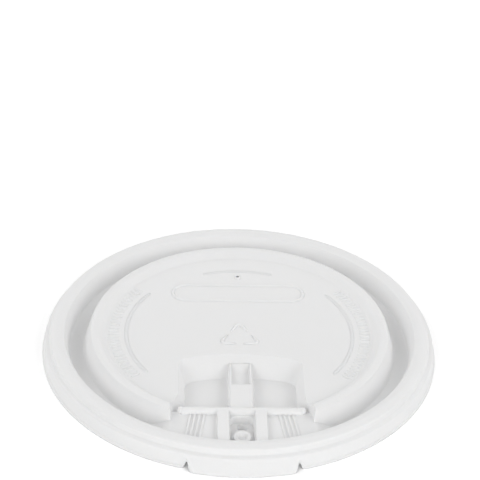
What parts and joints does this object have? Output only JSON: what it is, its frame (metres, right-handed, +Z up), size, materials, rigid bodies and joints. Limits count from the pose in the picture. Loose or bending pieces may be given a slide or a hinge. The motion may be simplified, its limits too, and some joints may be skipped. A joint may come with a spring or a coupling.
{
  "type": "coffee cup lid",
  "caption": "Flat round push-on lid for a paper hot-drink cup, with a raised ring, a fold-back tear tab over a locking well, a vent and a pull lip.",
  "frame": {"origin": "on the lid's axis, in the plane of the flange's underside that the lid rests on", "axes": "+Z up along the lid's axis, from the cup towards the drinker; -Y from the axis to the pull lip; +X to the right seen from the pull lip"},
  "size_m": [0.094, 0.095, 0.006],
  "materials": {
    "white_polystyrene": "satin"
  },
  "bodies": {
    "root": {"lid": "white_polystyrene"}
  },
  "joints": []
}
